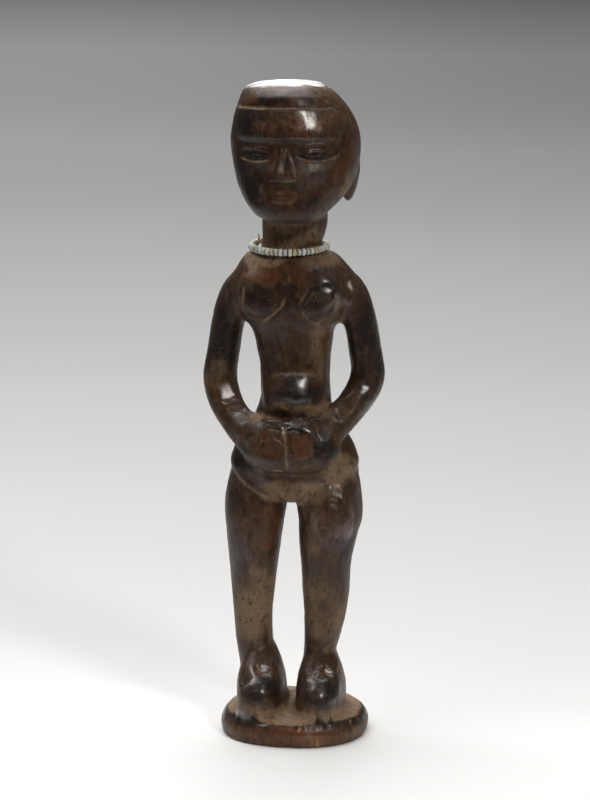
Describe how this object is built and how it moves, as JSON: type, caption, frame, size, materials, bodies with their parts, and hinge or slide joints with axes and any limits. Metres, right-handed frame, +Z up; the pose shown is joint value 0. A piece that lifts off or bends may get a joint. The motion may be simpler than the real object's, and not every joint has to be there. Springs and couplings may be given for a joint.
{
  "type": "carved fertility doll",
  "caption": "Standing carved wooden figure on a round base, hands clasped before the belly, wearing a loose strand of small glass beads round its neck.",
  "frame": {"origin": "centre of the base's flat underside", "axes": "+Z up, the figure faces -Y, +X to the right of someone who looks at its face"},
  "size_m": [0.0744, 0.0588, 0.2677],
  "materials": {
    "carved_wood": "dark handled patina, glossy where it is worn and dull in the hollows",
    "white_glass": "opaque glossy seed bead",
    "grey_green_glass": "opaque glossy seed bead",
    "cream_glass": "opaque, slightly worn seed bead",
    "thread_fibre": "twisted plant fibre"
  },
  "bodies": {
    "figure": {"figure": "carved_wood"},
    "strand": {"neck_thread": "thread_fibre", "thread_knot": "thread_fibre"},
    "bead_01": {"bead_01": "white_glass"},
    "bead_02": {"bead_02": "grey_green_glass"},
    "bead_03": {"bead_03": "white_glass"},
    "bead_04": {"bead_04": "cream_glass"},
    "bead_05": {"bead_05": "grey_green_glass"},
    "bead_06": {"bead_06": "white_glass"},
    "bead_07": {"bead_07": "grey_green_glass"},
    "bead_08": {"bead_08": "white_glass"},
    "bead_09": {"bead_09": "cream_glass"},
    "bead_10": {"bead_10": "grey_green_glass"},
    "bead_11": {"bead_11": "white_glass"},
    "bead_12": {"bead_12": "grey_green_glass"},
    "bead_13": {"bead_13": "white_glass"},
    "bead_14": {"bead_14": "cream_glass"},
    "bead_15": {"bead_15": "grey_green_glass"},
    "bead_16": {"bead_16": "white_glass"},
    "bead_17": {"bead_17": "grey_green_glass"},
    "bead_18": {"bead_18": "white_glass"},
    "bead_19": {"bead_19": "cream_glass"},
    "bead_20": {"bead_20": "grey_green_glass"},
    "bead_21": {"bead_21": "white_glass"},
    "bead_22": {"bead_22": "grey_green_glass"},
    "bead_23": {"bead_23": "white_glass"},
    "bead_24": {"bead_24": "cream_glass"},
    "bead_25": {"bead_25": "grey_green_glass"},
    "bead_26": {"bead_26": "white_glass"},
    "bead_27": {"bead_27": "grey_green_glass"},
    "bead_28": {"bead_28": "white_glass"},
    "bead_29": {"bead_29": "cream_glass"},
    "bead_30": {"bead_30": "grey_green_glass"},
    "bead_31": {"bead_31": "white_glass"},
    "bead_32": {"bead_32": "grey_green_glass"},
    "bead_33": {"bead_33": "white_glass"},
    "bead_34": {"bead_34": "cream_glass"},
    "bead_35": {"bead_35": "grey_green_glass"},
    "bead_36": {"bead_36": "white_glass"},
    "bead_37": {"bead_37": "grey_green_glass"},
    "bead_38": {"bead_38": "white_glass"},
    "bead_39": {"bead_39": "cream_glass"},
    "bead_40": {"bead_40": "grey_green_glass"},
    "bead_41": {"bead_41": "white_glass"},
    "bead_42": {"bead_42": "grey_green_glass"},
    "bead_43": {"bead_43": "white_glass"},
    "bead_44": {"bead_44": "cream_glass"},
    "bead_45": {"bead_45": "grey_green_glass"},
    "bead_46": {"bead_46": "white_glass"},
    "bead_47": {"bead_47": "grey_green_glass"},
    "bead_48": {"bead_48": "white_glass"},
    "bead_49": {"bead_49": "cream_glass"},
    "bead_50": {"bead_50": "grey_green_glass"}
  },
  "joints": [
    {"name": "strand_turn", "type": "hinge", "parent": "figure", "child": "strand", "pos_m": [-0.0022, -0.001, 0.2022], "axis": [0, -0.0349, 0.9994], "continuous": true},
    {"name": "bead_01_spin", "type": "hinge", "parent": "strand", "child": "bead_01", "pos_m": [-0.01642, 0.00377, 0.20237], "axis": [-0.3179, -0.9476, -0.0331], "continuous": true},
    {"name": "bead_02_spin", "type": "hinge", "parent": "strand", "child": "bead_02", "pos_m": [-0.0169, 0.002, 0.20231], "axis": [-0.1999, -0.9792, -0.0342], "continuous": true},
    {"name": "bead_03_spin", "type": "hinge", "parent": "strand", "child": "bead_03", "pos_m": [-0.01715, 0.00018, 0.20224], "axis": [-0.079, -0.9963, -0.0348], "continuous": true},
    {"name": "bead_04_spin", "type": "hinge", "parent": "strand", "child": "bead_04", "pos_m": [-0.01719, -0.00165, 0.20218], "axis": [0.0431, -0.9985, -0.0349], "continuous": true},
    {"name": "bead_05_spin", "type": "hinge", "parent": "strand", "child": "bead_05", "pos_m": [-0.01699, -0.00347, 0.20211], "axis": [0.1646, -0.9858, -0.0344], "continuous": true},
    {"name": "bead_06_spin", "type": "hinge", "parent": "strand", "child": "bead_06", "pos_m": [-0.01658, -0.00525, 0.20205], "axis": [0.2836, -0.9584, -0.0335], "continuous": true},
    {"name": "bead_07_spin", "type": "hinge", "parent": "strand", "child": "bead_07", "pos_m": [-0.01596, -0.00697, 0.20199], "axis": [0.3983, -0.9167, -0.032], "continuous": true},
    {"name": "bead_08_spin", "type": "hinge", "parent": "strand", "child": "bead_08", "pos_m": [-0.01513, -0.0086, 0.20193], "axis": [0.5072, -0.8613, -0.0301], "continuous": true},
    {"name": "bead_09_spin", "type": "hinge", "parent": "strand", "child": "bead_09", "pos_m": [-0.0141, -0.01012, 0.20188], "axis": [0.6084, -0.7931, -0.0277], "continuous": true},
    {"name": "bead_10_spin", "type": "hinge", "parent": "strand", "child": "bead_10", "pos_m": [-0.0129, -0.0115, 0.20183], "axis": [0.7006, -0.7131, -0.0249], "continuous": true},
    {"name": "bead_11_spin", "type": "hinge", "parent": "strand", "child": "bead_11", "pos_m": [-0.01154, -0.01273, 0.20179], "axis": [0.7824, -0.6224, -0.0217], "continuous": true},
    {"name": "bead_12_spin", "type": "hinge", "parent": "strand", "child": "bead_12", "pos_m": [-0.01004, -0.01378, 0.20175], "axis": [0.8525, -0.5225, -0.0182], "continuous": true},
    {"name": "bead_13_spin", "type": "hinge", "parent": "strand", "child": "bead_13", "pos_m": [-0.00842, -0.01464, 0.20172], "axis": [0.9098, -0.4147, -0.0145], "continuous": true},
    {"name": "bead_14_spin", "type": "hinge", "parent": "strand", "child": "bead_14", "pos_m": [-0.00671, -0.0153, 0.2017], "axis": [0.9536, -0.3008, -0.0105], "continuous": true},
    {"name": "bead_15_spin", "type": "hinge", "parent": "strand", "child": "bead_15", "pos_m": [-0.00494, -0.01574, 0.20169], "axis": [0.9832, -0.1824, -0.0064], "continuous": true},
    {"name": "bead_16_spin", "type": "hinge", "parent": "strand", "child": "bead_16", "pos_m": [-0.00312, -0.01596, 0.20168], "axis": [0.9981, -0.0612, -0.0021], "continuous": true},
    {"name": "bead_17_spin", "type": "hinge", "parent": "strand", "child": "bead_17", "pos_m": [-0.00129, -0.01596, 0.20168], "axis": [0.9981, 0.0608, 0.0021], "continuous": true},
    {"name": "bead_18_spin", "type": "hinge", "parent": "strand", "child": "bead_18", "pos_m": [0.00053, -0.01574, 0.20169], "axis": [0.9833, 0.1819, 0.0064], "continuous": true},
    {"name": "bead_19_spin", "type": "hinge", "parent": "strand", "child": "bead_19", "pos_m": [0.00231, -0.0153, 0.2017], "axis": [0.9538, 0.3004, 0.0105], "continuous": true},
    {"name": "bead_20_spin", "type": "hinge", "parent": "strand", "child": "bead_20", "pos_m": [0.00402, -0.01464, 0.20172], "axis": [0.91, 0.4143, 0.0145], "continuous": true},
    {"name": "bead_21_spin", "type": "hinge", "parent": "strand", "child": "bead_21", "pos_m": [0.00564, -0.01378, 0.20175], "axis": [0.8527, 0.5221, 0.0182], "continuous": true},
    {"name": "bead_22_spin", "type": "hinge", "parent": "strand", "child": "bead_22", "pos_m": [0.00714, -0.01273, 0.20179], "axis": [0.7827, 0.6221, 0.0217], "continuous": true},
    {"name": "bead_23_spin", "type": "hinge", "parent": "strand", "child": "bead_23", "pos_m": [0.0085, -0.01151, 0.20183], "axis": [0.701, 0.7128, 0.0249], "continuous": true},
    {"name": "bead_24_spin", "type": "hinge", "parent": "strand", "child": "bead_24", "pos_m": [0.0097, -0.01013, 0.20188], "axis": [0.6088, 0.7928, 0.0277], "continuous": true},
    {"name": "bead_25_spin", "type": "hinge", "parent": "strand", "child": "bead_25", "pos_m": [0.01072, -0.00861, 0.20193], "axis": [0.5075, 0.8611, 0.0301], "continuous": true},
    {"name": "bead_26_spin", "type": "hinge", "parent": "strand", "child": "bead_26", "pos_m": [0.01156, -0.00698, 0.20199], "axis": [0.3987, 0.9165, 0.032], "continuous": true},
    {"name": "bead_27_spin", "type": "hinge", "parent": "strand", "child": "bead_27", "pos_m": [0.01218, -0.00526, 0.20205], "axis": [0.284, 0.9582, 0.0335], "continuous": true},
    {"name": "bead_28_spin", "type": "hinge", "parent": "strand", "child": "bead_28", "pos_m": [0.01259, -0.00347, 0.20211], "axis": [0.165, 0.9857, 0.0344], "continuous": true},
    {"name": "bead_29_spin", "type": "hinge", "parent": "strand", "child": "bead_29", "pos_m": [0.01279, -0.00165, 0.20218], "axis": [0.0435, 0.9984, 0.0349], "continuous": true},
    {"name": "bead_30_spin", "type": "hinge", "parent": "strand", "child": "bead_30", "pos_m": [0.01275, 0.00018, 0.20224], "axis": [-0.0786, 0.9963, 0.0348], "continuous": true},
    {"name": "bead_31_spin", "type": "hinge", "parent": "strand", "child": "bead_31", "pos_m": [0.0125, 0.00199, 0.2023], "axis": [-0.1995, 0.9793, 0.0342], "continuous": true},
    {"name": "bead_32_spin", "type": "hinge", "parent": "strand", "child": "bead_32", "pos_m": [0.01202, 0.00376, 0.20237], "axis": [-0.3175, 0.9477, 0.0331], "continuous": true},
    {"name": "bead_33_spin", "type": "hinge", "parent": "strand", "child": "bead_33", "pos_m": [0.01134, 0.00546, 0.20242], "axis": [-0.4307, 0.902, 0.0315], "continuous": true},
    {"name": "bead_34_spin", "type": "hinge", "parent": "strand", "child": "bead_34", "pos_m": [0.01045, 0.00706, 0.20248], "axis": [-0.5375, 0.8428, 0.0294], "continuous": true},
    {"name": "bead_35_spin", "type": "hinge", "parent": "strand", "child": "bead_35", "pos_m": [0.00937, 0.00854, 0.20253], "axis": [-0.6363, 0.771, 0.0269], "continuous": true},
    {"name": "bead_36_spin", "type": "hinge", "parent": "strand", "child": "bead_36", "pos_m": [0.00812, 0.00988, 0.20258], "axis": [-0.7255, 0.6878, 0.024], "continuous": true},
    {"name": "bead_37_spin", "type": "hinge", "parent": "strand", "child": "bead_37", "pos_m": [0.00672, 0.01105, 0.20262], "axis": [-0.804, 0.5942, 0.0208], "continuous": true},
    {"name": "bead_38_spin", "type": "hinge", "parent": "strand", "child": "bead_38", "pos_m": [0.00518, 0.01205, 0.20266], "axis": [-0.8705, 0.4919, 0.0172], "continuous": true},
    {"name": "bead_39_spin", "type": "hinge", "parent": "strand", "child": "bead_39", "pos_m": [0.00354, 0.01285, 0.20268], "axis": [-0.924, 0.3822, 0.0133], "continuous": true},
    {"name": "bead_40_spin", "type": "hinge", "parent": "strand", "child": "bead_40", "pos_m": [0.0018, 0.01345, 0.2027], "axis": [-0.9637, 0.2667, 0.0093], "continuous": true},
    {"name": "bead_41_spin", "type": "hinge", "parent": "strand", "child": "bead_41", "pos_m": [0.00001, 0.01383, 0.20272], "axis": [-0.9891, 0.1474, 0.0051], "continuous": true},
    {"name": "bead_42_spin", "type": "hinge", "parent": "strand", "child": "bead_42", "pos_m": [-0.00181, 0.01399, 0.20272], "axis": [-0.9997, 0.0258, 0.0009], "continuous": true},
    {"name": "bead_43_spin", "type": "hinge", "parent": "strand", "child": "bead_43", "pos_m": [-0.00364, 0.01392, 0.20272], "axis": [-0.9954, -0.0962, -0.0034], "continuous": true},
    {"name": "bead_44_spin", "type": "hinge", "parent": "strand", "child": "bead_44", "pos_m": [-0.00545, 0.01363, 0.20271], "axis": [-0.9762, -0.2167, -0.0076], "continuous": true},
    {"name": "bead_45_spin", "type": "hinge", "parent": "strand", "child": "bead_45", "pos_m": [-0.00721, 0.01313, 0.20269], "axis": [-0.9425, -0.334, -0.0117], "continuous": true},
    {"name": "bead_46_spin", "type": "hinge", "parent": "strand", "child": "bead_46", "pos_m": [-0.0089, 0.01241, 0.20267], "axis": [-0.8947, -0.4464, -0.0156], "continuous": true},
    {"name": "bead_47_spin", "type": "hinge", "parent": "strand", "child": "bead_47", "pos_m": [-0.01049, 0.0115, 0.20264], "axis": [-0.8336, -0.552, -0.0193], "continuous": true},
    {"name": "bead_48_spin", "type": "hinge", "parent": "strand", "child": "bead_48", "pos_m": [-0.01195, 0.01039, 0.2026], "axis": [-0.7601, -0.6495, -0.0227], "continuous": true},
    {"name": "bead_49_spin", "type": "hinge", "parent": "strand", "child": "bead_49", "pos_m": [-0.01327, 0.00912, 0.20255], "axis": [-0.6752, -0.7372, -0.0257], "continuous": true},
    {"name": "bead_50_spin", "type": "hinge", "parent": "strand", "child": "bead_50", "pos_m": [-0.01442, 0.0077, 0.2025], "axis": [-0.5802, -0.814, -0.0284], "continuous": true}
  ]
}
